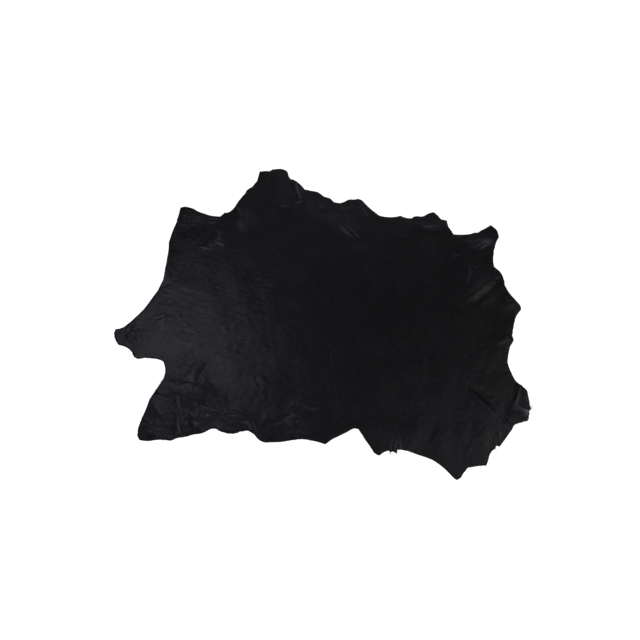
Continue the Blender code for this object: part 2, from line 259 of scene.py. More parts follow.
# Soft lumps (+) and hollows (-), in millimetres and degrees: x, y, length, breadth, turn from +X, height.
LUMPS = (
    (-338, -414, 70, 44, 8, 0.8),
    (-346, -455, 50, 20, -6, 1.0),
    (-334, -484, 56, 24, -14, 1.0),
    (-246, -430, 34, 26, -20, 1.9),
    (-230, -400, 34, 40, -60, 1.8),
    (-264, -386, 36, 32, 0, 0.9),
    (-272, -372, 100, 44, 0, 1.6),
    (-450, -140, 70, 40, 30, -1.5),
    (-338, -442, 50, 12, 6, -0.6),
    (-346, -462, 60, 12, -8, -0.5),
    (-286, -462, 34, 26, -30, -1.1),
    (-208, -414, 26, 34, 0, -1.0),
    (-190, -396, 34, 40, 0, -0.7),
    (-292, -392, 22, 50, 20, -0.5),
    (-152, -410, 44, 22, 8, 0.6),
    (-112, -402, 24, 32, -30, 1.5),
    (-46, -370, 66, 26, 42, -1.0),
    (-12, -374, 44, 32, 0, 0.8),
    (-60, -398, 60, 22, 10, -0.6),
    (-458, -228, 70, 64, 0, 1.0),
    (-316, -292, 90, 60, 100, 0.6),
    (-262, -322, 26, 56, 0, 0.7),
    (424, -338, 40, 62, 0, 0.4),
    (536, -214, 44, 50, 0, 2.8),
    (528, -168, 76, 26, 82, 3.2),
    (-348, 388, 150, 50, 69, 1.0),
    (-320, 358, 56, 130, -14, 0.6),
    (-195, 367, 40, 10, 0, 0.4),
    (-236, 340, 40, 11, 0, 0.5),
    (-118, 357, 44, 14, -8, 0.7),
    (-160, 392, 60, 40, -20, -0.6),
    (-40, 392, 70, 40, 0, -0.6),
    (30, 300, 50, 60, 20, 0.5),
    (216, 362, 56, 15, 6, 1.1),
    (176, 372, 26, 40, 0, -0.8),
    (396, 346, 50, 22, 24, 1.0),
    (352, 350, 46, 26, 10, 0.6),
    (372, 168, 26, 80, -8, -0.9),
    (311, 264, 60, 44, 40, -1.6),
    (436, 224, 30, 44, -30, 0.7),
    (-376, 146, 34, 13, -8, 0.5),
    (-416, 120, 40, 12, 2, 0.4),
    (-322, 136, 34, 12, 0, 0.5),
    (-500, 170, 60, 60, 0, -0.6),
)

# Crumpled patches, in millimetres and degrees:
# x, y, length, breadth, turn of the length from +X, wrinkle spacing along, spacing across, height.
CRUMPLES = (
    (-306, -432, 200, 170, 100, 18, 12, 0.8),
    (-228, -412, 110, 100, 30, 16, 11, 0.8),
    (-496, -224, 120, 100, 10, 18, 12, 0.5),
    (-160, -398, 180, 84, 5, 34, 18, 0.5),
    (-6, -372, 180, 100, 5, 36, 20, 0.22),
    (-332, -290, 190, 130, 90, 18, 12, 0.36),
    (372, -318, 270, 200, 104, 110, 13, 0.12),
    (250, -356, 110, 74, 104, 60, 12, 0.5),
    (478, -292, 140, 100, 104, 80, 13, 0.28),
    (528, -180, 110, 86, 100, 20, 14, 0.25),
    (-60, 330, 260, 160, 160, 46, 18, 0.45),
    (-216, 410, 130, 120, 120, 30, 13, 0.6),
    (232, 376, 150, 90, 0, 30, 15, 0.5),
    (374, 348, 140, 116, 20, 24, 14, 0.6),
    (408, 186, 170, 130, 60, 50, 26, 0.25),
    (-400, 160, 150, 130, 60, 34, 20, 0.15),
    (-500, 236, 120, 80, 0, 34, 18, 0.5),
    (-320, 262, 130, 100, 110, 30, 14, 0.3),
)

# Ragged tips where the skin tore. Each row: x, y, reach of the loose fibres there, all in millimetres.
FRAYS = (
    (253, -388, 16),
    (238, -389, 12),
    (559, -189, 14),
    (482, -316, 10),
    (-536, 146, 12),
    (-404, 271, 10),
)

# The panels of light. Each row: name, the setting that holds its energy, place, what it points at, side of
# its square and colour, in metres.
MIDDLE, SHOULDER = (0.0, 0.0, 0.0), (-0.4, -0.2, 0.0)
PANELS = (
    ("sheen_panel", "sheen_light", (-1.22, 0.86, 2.15), SHOULDER, 0.74, (0.8, 0.76, 1.0)),
    ("tip_panel", "tip_light", (-1.55, 0.96, 2.12), SHOULDER, 0.35, (1.0, 0.92, 0.98)),
    ("shoulder_panel", "tip_light", (-1.09, 0.75, 2.12), SHOULDER, 0.3, (1.0, 0.92, 0.98)),
    ("far_panel", "far_light", (-0.55, 3.85, 2.3), MIDDLE, 2.4, (0.97, 0.9, 1.0)),
    ("near_panel", "near_light", (0.75, 0.3, 2.3), MIDDLE, 1.2, (1.0, 0.9, 1.0)),
    ("belly_panel", "belly_light", (-0.02, 0.95, 2.3), MIDDLE, 0.8, (1.0, 0.95, 1.0)),
    ("neck_panel", "neck_light", (-1.25, -0.15, 2.2), MIDDLE, 0.25, (1.0, 0.93, 0.97)),
    ("butt_panel", "butt_light", (1.35, 1.35, 2.2), MIDDLE, 1.1, (0.92, 0.94, 1.0)),
    ("rim_panel", "rim_light", (2.0, 1.2, 2.1), MIDDLE, 0.6, (1.0, 0.95, 0.97)),
    ("left_panel", "side_light", (-4.0, -0.2, 1.15), MIDDLE, 2.0, (1.0, 0.96, 0.99)),
    ("right_panel", "side_light", (4.0, -0.2, 1.15), MIDDLE, 2.0, (1.0, 0.96, 0.99)),
)

# ---------------------------------------------------------------------------------------------- shapes


def through(points, step):
    """A smooth line through the points, with one sample about every `step`."""
    points = np.asarray(points, dtype=float)
    padded = np.vstack((2 * points[0] - points[1], points, 2 * points[-1] - points[-2]))
    samples = []
    for a, b, c, d in zip(padded, padded[1:], padded[2:], padded[3:]):
        count = max(2, round(float(np.linalg.norm(c - b)) / step))
        t = (np.arange(count) / count)[:, None]
        samples.append(
            0.5 * (2 * b + (c - a) * t + (2 * a - 5 * b + 4 * c - d) * t**2 + (3 * b - a - 3 * c + d) * t**3)
        )
    return np.vstack((*samples, points[-1]))


def off_line(points, line):
    """For each point: its distance from the line, and how far along the line it lies, from 0 to 1."""
    runs = line[1:] - line[:-1]
    lengths = np.linalg.norm(runs, axis=1)
    before = np.concatenate(((0.0,), np.cumsum(lengths)))
    offsets = points[:, None, :] - line[:-1]
    share = np.clip((offsets * runs).sum(axis=2) / lengths**2, 0.0, 1.0)
    gaps = np.linalg.norm(offsets - share[..., None] * runs, axis=2)
    nearest = gaps.argmin(axis=1)
    rows = np.arange(len(points))
    along = (before[nearest] + share[rows, nearest] * lengths[nearest]) / before[-1]
    return gaps[rows, nearest], along


def nearest_distance(points, targets):
    """Each point's distance from the nearest of the targets, on the level."""
    tree = KDTree(len(targets))
    for i, (x, y) in enumerate(targets):
        tree.insert((x, y, 0.0), i)
    tree.balance()
    return np.array([tree.find((x, y, 0.0))[2] for x, y in points])


def hump(distance):
    """A round-topped hump: 1 in the middle and 0 from a distance of 1 outwards."""
    return np.cos(0.5 * math.pi * np.clip(distance, 0.0, 1.0)) ** 2


def outward(ring):
    """The level direction that points out of the ring at each of its points."""
    along = np.roll(ring, -1, axis=0) - np.roll(ring, 1, axis=0)
    along /= np.linalg.norm(along, axis=1)[:, None]
    return np.column_stack((along[:, 1], -along[:, 0]))


def plan_area(ring):
    """The area that the ring encloses, above 0 where it runs anticlockwise."""
    following = np.roll(ring, -1, axis=0)
    return 0.5 * float((ring[:, 0] * following[:, 1] - following[:, 0] * ring[:, 1]).sum())


def drawn(points):
    """Points of the cutting drawing, in millimetres, as places in the frame."""
    return (np.asarray(points, dtype=float) - DRAWING_CENTRE) * MM


def seen_from(points, place, turn):
    """The points as a patch at `place` sees them: along its length, and across it."""
    angle = math.radians(turn)
    way = np.array(((math.cos(angle), -math.sin(angle)), (math.sin(angle), math.cos(angle))))
    return (points - drawn(place)) @ way


class Ripples:
    """Smooth random ripples of unit size: a seeded sum of waves whose lengths lie between two values."""

    WAVES = 36

    def __init__(self, shortest, longest, seed):
        rng = np.random.default_rng(seed)
        lengths = np.exp(rng.uniform(math.log(shortest), math.log(longest), self.WAVES))
        turns = rng.uniform(0.0, 2.0 * math.pi, self.WAVES)
        self.pulse = 2.0 * math.pi / lengths * np.vstack((np.cos(turns), np.sin(turns)))
        self.phase = rng.uniform(0.0, 2.0 * math.pi, self.WAVES)

    def __call__(self, points):
        return np.cos(points @ self.pulse + self.phase).sum(axis=1) / math.sqrt(self.WAVES / 2.0)


class PackedHide:
    """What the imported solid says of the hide: its rim, its thickness and how high its folds stand."""

    # Spacing of the height samples, and how widely the solid's facets are smoothed away.
    CELL = 4.0 * MM
    SOFTEN = 6.5 * MM
    # Spare cells round the hide, and the height that the rays fall from, in metres.
    MARGIN = 2
    HIGH = 1.0
    # A face whose normal drops further than this belongs to the underside.
    FACE_TILT = 0.6
    # Points closer than this are one corner of the solid, in metres.
    WELD = 1e-6

    def __init__(self, node):
        solid = bmesh.new()
        solid.from_mesh(node.data)
        bmesh.ops.remove_doubles(solid, verts=solid.verts, dist=self.WELD)
        solid.normal_update()
        self.rim = self._rim(solid)
        tree = BVHTree.FromBMesh(solid)
        solid.free()
        low, high = HIDE_BOX
        self.low = np.array(low[:2]) - self.MARGIN * self.CELL
        counts = np.ceil((np.array(high[:2]) - self.low) / self.CELL).astype(int) + self.MARGIN + 1
        tops = np.full(counts, np.nan)
        for i in range(counts[0]):
            for j in range(counts[1]):
                x, y = self.low + self.CELL * np.array((i, j))
                hit = tree.ray_cast(Vector((x, y, self.HIGH)), Vector((0.0, 0.0, -1.0)))[0]
                if hit is not None:
                    tops[i, j] = hit.z
        self.thickness = float(np.nanmin(tops))
        self.lift = self._softened(tops - self.thickness)

    def _rim(self, solid):
        """The underside's edge, as one closed anticlockwise ring of points."""
        after = {}
        for edge in solid.edges:
            tilts = sorted(face.normal.z for face in edge.link_faces)
            if len(tilts) == 2 and tilts[0] < -self.FACE_TILT and tilts[1] > -self.FACE_TILT:
                for one, other in (edge.verts, reversed(edge.verts)):
                    after.setdefault(one.index, []).append(other.index)
        solid.verts.ensure_lookup_table()
        start = min(after)
        ring = [start]
        before, here = start, after[start][0]
        while here != start:
            ring.append(here)
            before, here = here, next(v for v in after[here] if v != before)
        points = np.array([solid.verts[v].co[:2] for v in ring])
        return points if plan_area(points) > 0.0 else points[::-1]

    def _softened(self, field):
        """The field with its facets smoothed away; cells past the rim take their neighbours' values."""
        known = ~np.isnan(field)
        weight = known.astype(float)
        field = np.where(known, field, 0.0)
        reach = int(3 * self.SOFTEN / self.CELL)
        offsets = np.arange(-reach, reach + 1)
        kernel = np.exp(-0.5 * (offsets * self.CELL / self.SOFTEN) ** 2)
        for axis in (0, 1):
            field = np.apply_along_axis(np.convolve, axis, field, kernel, mode="same")
            weight = np.apply_along_axis(np.convolve, axis, weight, kernel, mode="same")
        return field / np.maximum(weight, 1e-6)

    def lifts(self, points):
        """How far the underside stands off the floor at each point."""
        last_cell = np.array(self.lift.shape) - 1.001
        cells = np.clip((points - self.low) / self.CELL, 0.0, last_cell)
        i, j = cells.astype(int).T
        u, v = (cells - cells.astype(int)).T
        near = self.lift[i, j] * (1 - v) + self.lift[i, j + 1] * v
        far = self.lift[i + 1, j] * (1 - v) + self.lift[i + 1, j + 1] * v
        return near * (1 - u) + far * u


def smooth_rim(rim, step, raggedness, seed):
    """The rim as a fine curve: round where it turns gently, sharp at its tips, and a little ragged."""
    corner_turn = math.radians(36)
    following = np.roll(rim, -1, axis=0)
    runs = following - rim
    lengths = np.linalg.norm(runs, axis=1)
    ways = runs / lengths[:, None]
    earlier = np.roll(ways, 1, axis=0)
    turns = np.arccos(np.clip((ways * earlier).sum(axis=1), -1.0, 1.0))
    shared = ways * np.roll(lengths, 1)[:, None] + earlier * lengths[:, None]
    shared /= np.linalg.norm(shared, axis=1)[:, None]
    sharp = (turns > corner_turn)[:, None]
    leaving = np.where(sharp, ways, shared)
    arriving = np.where(sharp, earlier, shared)
    samples = []
    for i, length in enumerate(lengths):
        count = max(1, round(length / step))
        t = (np.arange(count) / count)[:, None]
        start, end = rim[i], following[i]
        out, back = leaving[i] * length, arriving[(i + 1) % len(rim)] * length
        samples.append(
            (2 * t**3 - 3 * t**2 + 1) * start
            + (t**3 - 2 * t**2 + t) * out
            + (3 * t**2 - 2 * t**3) * end
            + (t**3 - t**2) * back
        )
    ring = np.vstack(samples)
    return ring + outward(ring) * ragged_shift(ring, raggedness, seed)[:, None]


def ragged_shift(ring, raggedness, seed):
    """How far the knife or a tear moves each point of the rim outwards."""
    fine_share, broad_share = 0.45, 0.55
    usual, swing, least, most = 0.6, 0.6, 0.15, 1.6
    fine = Ripples(5.0 * MM, 14.0 * MM, seed)
    broad = Ripples(18.0 * MM, 60.0 * MM, seed + 1)
    tears = Ripples(90.0 * MM, 220.0 * MM, seed + 2)
    torn = np.clip(usual + swing * tears(ring), least, most)
    return raggedness * torn * (fine_share * fine(ring) + broad_share * broad(ring))


def crease_relief(points):
    """Heights of the listed creases, and how sharp a ridge each point lies on, from 0 to 1.

    A trough has raised shoulders, so that it keeps its depth. Every crease fades towards its ends.
    """
    sample_step = 3.0 * MM
    shoulder_width, shoulder_share = 2.4, 0.3
    fade_start, fade_power = 0.1, 0.8
    relief, ridge = np.zeros(len(points)), np.zeros(len(points))
    for rows in CREASES.values():
        for height, width, *line in rows:
            line = through(drawn(line), sample_step)
            reach = 0.5 * width * MM * shoulder_width
            close = ((points > line.min(axis=0) - reach) & (points < line.max(axis=0) + reach)).all(axis=1)
            if not close.any():
                continue
            gap, along = off_line(points[close], line)
            inner = fade_start + (1.0 - 2.0 * fade_start) * along
            fade = np.sin(math.pi * np.clip(inner, 0.0, 1.0)) ** fade_power
            shape = hump(gap / (0.5 * width * MM))
            sharp = height / FULL_RIDGE * fade * shape**2
            ridge[close] = np.maximum(ridge[close], np.clip(sharp, 0.0, 1.0))
            if height < 0.0:
                shape = shape - shoulder_share * hump(gap / reach)
            relief[close] += height * MM * fade * shape
    return relief, ridge


def crumple_relief(points, seed):
    """Heights of the crumpled patches, and how crumpled each point is, from 0 to 1.

    A patch is pillows between creases: the size of broad ripples, plus a share of finer ones, stretched
    along the patch's own direction.
    """
    shortest, longest, fine_share = 0.8, 1.6, 0.3
    crease_softness, middle_level = 0.02, 0.8
    relief, crumpled = np.zeros(len(points)), np.zeros(len(points))
    for number, (x, y, length, breadth, turn, long_way, short_way, height) in enumerate(CRUMPLES):
        local = seen_from(points, (x, y), turn)
        share = np.hypot(local[:, 0] / (0.5 * length * MM), local[:, 1] / (0.5 * breadth * MM))
        close = share < 1.0
        stretched = local[close] / (np.array((long_way, short_way)) * MM)
        chance = seed + 2 * number
        broad, fine = (Ripples(shortest / part, longest / part, chance + part) for part in (1, 2))
        pillows = np.sqrt(broad(stretched) ** 2 + crease_softness) - middle_level
        pillows = pillows + fine_share * fine(stretched)
        weight = hump(share[close])
        relief[close] += height * MM * weight * pillows
        crumpled[close] = np.maximum(crumpled[close], weight * min(1.0, height / FULL_CRUMPLE))
    return relief, crumpled


def lump_relief(points):
    """Heights of the soft lumps and hollows."""
    skirt = 1.25
    relief = np.zeros(len(points))
    for x, y, length, breadth, turn, height in LUMPS:
        local = seen_from(points, (x, y), turn) / (0.5 * MM * np.array((length, breadth)))
        relief += height * MM * hump(np.hypot(*local.T) / skirt)
    return relief


class HideSurface:
    """The hide's grain side and underside as heights over the floor."""

    # The grain side's least height, and how softly it comes down to it.
    THINNEST = 0.55 * MM
    SOFT_LANDING = 0.12 * MM
    # The slow rolls of the sheet, as shares of their height: level, rolls, dimples.
    ROLL_LEVEL, ROLL_SHARE, DIMPLE_SHARE = 0.55, 0.5, 0.2

    def __init__(self, packed, thickness, swell, seed):
        self.packed = packed
        self.thickness = thickness
        self.swell = swell
        self.crumple_seed = seed + 10
        self.rolls = Ripples(70.0 * MM, 190.0 * MM, seed)
        self.dimples = Ripples(16.0 * MM, 40.0 * MM, seed + 1)

    def relief(self, points):
        """What the creases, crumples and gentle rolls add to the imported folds."""
        rolls = self.ROLL_LEVEL + self.ROLL_SHARE * self.rolls(points)
        rolling = self.swell * (rolls + self.DIMPLE_SHARE * self.dimples(points))
        placed = crease_relief(points)[0] + lump_relief(points)
        return placed + crumple_relief(points, self.crumple_seed)[0] + rolling

    def middle(self, points):
        """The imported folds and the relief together."""
        return self.packed.lifts(points) + self.relief(points)

    def top(self, points):
        """The grain side; it never comes closer to the floor than the thinnest spot allows."""
        height = self.thickness + self.packed.lifts(points) + self.relief(points)
        over = height - self.THINNEST
        return self.THINNEST + self.SOFT_LANDING * np.logaddexp(0.0, over / self.SOFT_LANDING)

    def under(self, top):
        """The flesh side: one thickness below the grain side, and never below the floor."""
        return np.maximum(top - self.thickness, 0.0)


def inside(points, ring):
    """True for each point that the ring encloses."""
    batch = 4000
    result = np.zeros(len(points), dtype=bool)
    x0, y0 = ring.T
    x1, y1 = np.roll(ring, -1, axis=0).T
    for start in range(0, len(points), batch):
        x, y = points[start : start + batch, 0, None], points[start : start + batch, 1, None]
        spans = (y0 > y) != (y1 > y)
        crosses = x < x0 + (y - y0) * (x1 - x0) / np.where(y1 == y0, 1.0, y1 - y0)
        result[start : start + batch] = (spans & crosses).sum(axis=1) % 2 == 1
    return result


def lattice(step, ring):
    """A triangular lattice of points inside the ring."""
    low, high = ring.min(axis=0), ring.max(axis=0)
    rows = np.arange(low[1], high[1], step * math.sqrt(0.75))
    columns = np.arange(low[0], high[0], step)
    grid_x, grid_y = np.meshgrid(columns, rows)
    grid_x = grid_x + 0.5 * step * (np.arange(len(rows)) % 2)[:, None]
    points = np.column_stack((grid_x.ravel(), grid_y.ravel()))
    return points[inside(points, ring)]


def bending(points, surface, reach):
    """How far the sheet bends away from a plane within `reach` of each point."""
    middle = surface.middle(points)
    bend = np.zeros(len(points))
    for way in ((1.0, 0.0), (0.0, 1.0), (0.7, 0.7), (0.7, -0.7)):
        side = reach * np.array(way)
        ends = surface.middle(points + side) + surface.middle(points - side)
        bend = np.maximum(bend, np.abs(middle - 0.5 * ends))
    return bend


def inner_points(ring, surface, settings):
    """Points between the rims: close together on creases, folds and the edge, wide apart on the flat."""
    rim_band, clearance = 1.5, 0.6
    fine = lattice(settings.fine_step, ring)
    gap = nearest_distance(fine, ring)
    bends = bending(fine, surface, settings.fine_step)
    close = (bends > settings.fine_bend) | (gap < rim_band * settings.fine_step)
    fine = fine[close & (gap > clearance * settings.fine_step)]
    wide = lattice(settings.wide_step, ring)
    return np.vstack((fine, wide[nearest_distance(wide, fine) > clearance * settings.wide_step]))


def hide_mesh(name, ring, surface, settings):
    """The closed sheet: grain side, flesh side and a rounded cut edge between them."""
    only_inside, weld = 1, 1e-7
    points = [Vector(point) for point in np.vstack((ring, inner_points(ring, surface, settings)))]
    edges = [(i, (i + 1) % len(ring)) for i in range(len(ring))]
    verts, _, faces, _, _, _ = delaunay_2d_cdt(points, edges, [], only_inside, weld)
    plan = np.array([tuple(vert) for vert in verts])
    top = surface.top(plan)
    under = surface.under(top)
    count, rim = len(plan), len(ring)
    top[:rim] += settings.rim_taper * (under[:rim] - top[:rim])
    middle_ring = plan[:rim] + outward(plan[:rim]) * settings.edge_round
    middle = np.column_stack((middle_ring, 0.5 * (top[:rim] + under[:rim])))
    every = np.vstack((np.column_stack((plan, top)), np.column_stack((plan, under)), middle))
    upper = [tuple(face) for face in faces]
    lower = [tuple(v + count for v in reversed(face)) for face in faces]
    walls = []
    for i in range(rim):
        j = (i + 1) % rim
        walls.append((i, 2 * count + i, 2 * count + j, j))
        walls.append((2 * count + i, count + i, count + j, 2 * count + j))
    mesh = bpy.data.meshes.new(name)
    mesh.from_pydata(every.tolist(), [], upper + lower + walls)
    sides = [GRAIN_SIDE] * len(upper) + [FLESH_SIDE] * len(lower) + [CUT_EDGE] * len(walls)
    mesh.polygons.foreach_set("material_index", sides)
    # Nearness to the rim: it drives the rim's browner wear and the painted dark line of shade right at the
    # rim.
    worn = 1.0 - np.clip(nearest_distance(plan, ring) / settings.edge_wear_reach, 0.0, 1.0)
    crest = np.clip(surface.relief(plan) / settings.crest_height, -1.0, 1.0)
    ridge = crease_relief(plan)[1]
    crumpled = crumple_relief(plan, surface.crumple_seed)[1]
    unmarked = np.zeros(count)
    for label, above, below, edge in (
        ("rim_wear_and_shade", worn, worn, np.ones(rim)),
        ("crest", crest, crest, crest[:rim]),
        ("ridge", ridge, unmarked, ridge[:rim]),
        ("crumpled", crumpled, unmarked, crumpled[:rim]),
    ):
        marks = mesh.attributes.new(label, "FLOAT", "POINT")
        marks.data.foreach_set("value", np.concatenate((above, below, edge)))
    mesh.validate()
    mesh.shade_smooth()
    return mesh


# ------------------------------------------------------------------------------------------- materials


def new_group(name, size_name, size, outputs):
    """An empty shader group that takes a place and the size of its pattern, and gives the outputs."""
    tree = bpy.data.node_groups.new(name, "ShaderNodeTree")
    for label, kind, default in (
        ("Place", "NodeSocketVector", (0.0, 0.0, 0.0)),
        (size_name, "NodeSocketFloat", size),
    ):
        tree.interface.new_socket(label, in_out="INPUT", socket_type=kind).default_value = default
    for label in outputs:
        tree.interface.new_socket(label, in_out="OUTPUT", socket_type="NodeSocketFloat")
    given = tree.nodes.new("NodeGroupInput").outputs
    return tree, given["Place"], given[size_name], tree.nodes.new("NodeGroupOutput")


def add_node(tree, kind, values=(), **settings):
    """A node with its own settings, and with (input, value or socket) pairs set or linked."""
    node = tree.nodes.new(kind)
    for name, value in settings.items():
        setattr(node, name, value)
    for socket, value in values:
        if isinstance(value, bpy.types.NodeSocket):
            tree.links.new(value, node.inputs[socket])
        else:
            node.inputs[socket].default_value = value
    return node


def maths(tree, operation, first, second=0.0, clamp=False):
    """The output of one Math node."""
    node = add_node(tree, "ShaderNodeMath", ((0, first), (1, second)), operation=operation, use_clamp=clamp)
    return node.outputs[0]


def blended(tree, share, first, second):
    """The output of one colour mix."""
    node = add_node(tree, "ShaderNodeMix", ((0, share), (6, first), (7, second)), data_type="RGBA")
    return node.outputs[2]


def ranged(tree, value, to_low=0.0, to_high=1.0, low=0.0, high=1.0):
    """The value stretched from the range low to high, to the range to_low to to_high, and kept in it."""
    limits = (("From Min", low), ("From Max", high), ("To Min", to_low), ("To Max", to_high))
    return add_node(tree, "ShaderNodeMapRange", (("Value", value), *limits)).outputs["Result"]


def noise(tree, place, scale, detail=2.0, roughness=0.5):
    """A noise pattern's value."""
    values = (("Vector", place), ("Scale", scale), ("Detail", detail), ("Roughness", roughness))
    return add_node(tree, "ShaderNodeTexNoise", values).outputs["Fac"]


def streaked(tree, place, turn, scale):
    """A noise drawn out into streaks that run along X turned by `turn`."""
    times_longer = 7.0
    values = (("Vector", place), ("Rotation", (0.0, 0.0, turn)), ("Scale", (times_longer, 1.0, 1.0)))
    along = add_node(tree, "ShaderNodeMapping", values, vector_type="TEXTURE")
    return noise(tree, along.outputs[0], scale, detail=3.0, roughness=0.65)


def bumped(tree, height, depth, strength=1.0, below=None):
    """The normal of a relief that is `depth` metres deep, laid over the normal `below`."""
    values = [("Strength", strength), ("Distance", depth), ("Height", height)]
    if below is not None:
        values.append(("Normal", below))
    return add_node(tree, "ShaderNodeBump", values).outputs[0]


def marked(tree, label):
    """One of the sheet's own marks, such as how worn it is."""
    return add_node(tree, "ShaderNodeAttribute", attribute_name=label).outputs["Fac"]


def patterned(tree, group, place, size):
    """The outputs of a pattern group, at this place and size."""
    node = tree.nodes.new("ShaderNodeGroup")
    node.node_tree = group
    tree.links.new(place, node.inputs["Place"])
    node.inputs[1].default_value = size
    return node.outputs


def scaled(colour, factor):
    """A colour made lighter or darker."""
    return (*(channel * factor for channel in colour[:3]), 1.0)


def grain_group():
    """Pebbled leather grain: rounded cells with fine pores, as a height from 0 to 1.

    A slow noise sways the cells out of line, by up to `sway_reach` metres.
    """
    tree, place, scale, result = new_group("leather grain", "Cells per metre", 800.0, ("Height", "Pores"))
    sway_scale, sway_reach = 0.4, 0.0003
    softness, fine_scale = 0.35, 2.7
    pebble_share, fine_share = 0.75, 0.25
    pore_level = 0.66
    sway_values = (("Vector", place), ("Scale", maths(tree, "MULTIPLY", scale, sway_scale)))
    sway = add_node(tree, "ShaderNodeTexNoise", sway_values).outputs["Color"]
    sway = add_node(tree, "ShaderNodeVectorMath", ((0, sway), ("Scale", sway_reach)), operation="SCALE")
    moved = add_node(tree, "ShaderNodeVectorMath", ((0, place), (1, sway.outputs[0])), operation="ADD")
    cells = add_node(
        tree,
        "ShaderNodeTexVoronoi",
        (("Vector", moved.outputs[0]), ("Scale", scale), ("Smoothness", softness)),
        feature="SMOOTH_F1",
    )
    pebble = maths(tree, "SUBTRACT", 1.0, cells.outputs["Distance"], clamp=True)
    pebble = maths(tree, "MULTIPLY", pebble, pebble_share)
    fine = noise(tree, place, maths(tree, "MULTIPLY", scale, fine_scale), roughness=0.6)
    height = maths(tree, "ADD", pebble, maths(tree, "MULTIPLY", fine, fine_share))
    tree.links.new(height, result.inputs["Height"])
    tree.links.new(maths(tree, "GREATER_THAN", fine, pore_level), result.inputs["Pores"])
    return tree


def mottle_group():
    """Slow unevenness of dye and finish: a broad mask and a cloudy finer one, each from 0 to 1."""
    tree, place, scale, result = new_group("dye mottle", "Patches per metre", 5.0, ("Broad", "Cloudy"))
    times_finer = 7.0
    low, high = 0.3, 0.7
    broad = noise(tree, place, scale)
    finer = maths(tree, "MULTIPLY", scale, times_finer)
    cloudy = noise(tree, place, finer, detail=3.0, roughness=0.55)
    for label, value in (("Broad", broad), ("Cloudy", cloudy)):
        tree.links.new(ranged(tree, value, low=low, high=high), result.inputs[label])
    return tree


def new_material(name, specular, sheen=0.0):
    """A material with its Principled shader, and the constants that stay on the shader's own sockets."""
    material = bpy.data.materials.new(name)
    material.use_nodes = True
    tree = material.node_tree
    shader = tree.nodes["Principled BSDF"]
    shader.inputs["Specular IOR Level"].default_value = specular
    shader.inputs["Sheen Weight"].default_value = sheen
    shader.inputs["Sheen Roughness"].default_value = 0.5
    place = add_node(tree, "ShaderNodeTexCoord").outputs["Object"]
    return material, tree, shader, place


def finish(tree, shader, dye, roughness, normal=None):
    """Feeds the shader its colour, its roughness and, where there is one, its relief."""
    tree.links.new(dye, shader.inputs["Base Color"])
    tree.links.new(roughness, shader.inputs["Roughness"])
    if normal is not None:
        tree.links.new(normal, shader.inputs["Normal"])


def grain_dye(tree, settings, spots, crumpled):
    """The grain side's colour: a cloudy black, browner at the rim, on crests and where it is crumpled, with a
    painted highlight along sharp ridges and a painted dark line of shade right at the rim.
    """
    dark_patch, light_patch = 0.8, 1.25
    rim_fall, rim_level, rim_share = 2.2, 0.25, 0.3
    crest_share, crumple_share, ridge_level = 0.25, 0.35, 0.55
    rim_shade_start, rim_shade_full = 0.72, 0.92
    wear, crest, ridge = (marked(tree, label) for label in ("rim_wear_and_shade", "crest", "ridge"))
    cloudy, worn = spots["Cloudy"], tuple(settings.rim_colour)
    dark, light = (scaled(settings.grain_colour, factor) for factor in (dark_patch, light_patch))
    dye = blended(tree, spots["Broad"], dark, light)
    edge = maths(tree, "ADD", rim_level, cloudy)
    edge = maths(tree, "MULTIPLY", maths(tree, "POWER", wear, rim_fall), edge)
    dye = blended(tree, maths(tree, "MULTIPLY", edge, rim_share, clamp=True), dye, worn)
    rubbed = maths(tree, "MULTIPLY", maths(tree, "MAXIMUM", crest, 0.0), crest_share, clamp=True)
    dye = blended(tree, rubbed, dye, worn)
    dye = blended(tree, maths(tree, "MULTIPLY", crumpled, crumple_share), dye, worn)
    # Painted highlight: a light grey laid along the crests of sharp ridges.
    ridge = maths(tree, "MULTIPLY", ridge, maths(tree, "ADD", ridge_level, cloudy), clamp=True)
    dye = blended(tree, ridge, dye, tuple(settings.ridge_highlight_colour))
    # Painted shade: the last few millimetres of the rim turn near-black, a painted dark line of shade along
    # the edge.
    line = ranged(tree, wear, low=rim_shade_start, high=rim_shade_full)
    return blended(tree, line, dye, tuple(settings.rim_shade_colour))


def grain_relief(tree, settings, place, pebbles, crumpled):
    """The grain side's normal: pebbles on fine wrinkles, stretched streaks and crackle.

    The streaks turn from the neck's direction to the butt's between two places on the spine, in metres.
    """
    neck_ends, butt_starts = -0.15, 0.1
    noise_middle = 0.5
    wrinkles = noise(tree, place, settings.wrinkle_scale, detail=4.0, roughness=0.65)
    neck = streaked(tree, place, settings.neck_turn, settings.streak_scale)
    butt = streaked(tree, place, settings.butt_turn, settings.streak_scale)
    along_spine = add_node(tree, "ShaderNodeSeparateXYZ", ((0, place),)).outputs["X"]
    half = ranged(tree, along_spine, low=neck_ends, high=butt_starts)
    neck = maths(tree, "MULTIPLY", neck, maths(tree, "SUBTRACT", 1.0, half))
    streaks = maths(tree, "ADD", maths(tree, "MULTIPLY", butt, half), neck)
    wrinkles = maths(tree, "ADD", wrinkles, maths(tree, "MULTIPLY", streaks, settings.streak_share))
    crackle = noise(tree, place, settings.crackle_scale, roughness=0.6)
    crackle = maths(tree, "SUBTRACT", crackle, noise_middle)
    crackle = maths(tree, "MULTIPLY", maths(tree, "ABSOLUTE", crackle), crumpled)
    wrinkles = maths(tree, "ADD", wrinkles, maths(tree, "MULTIPLY", crackle, settings.crackle_share))
    soft = bumped(tree, wrinkles, settings.wrinkle_depth)
    return bumped(tree, pebbles["Height"], settings.grain_depth, below=soft)


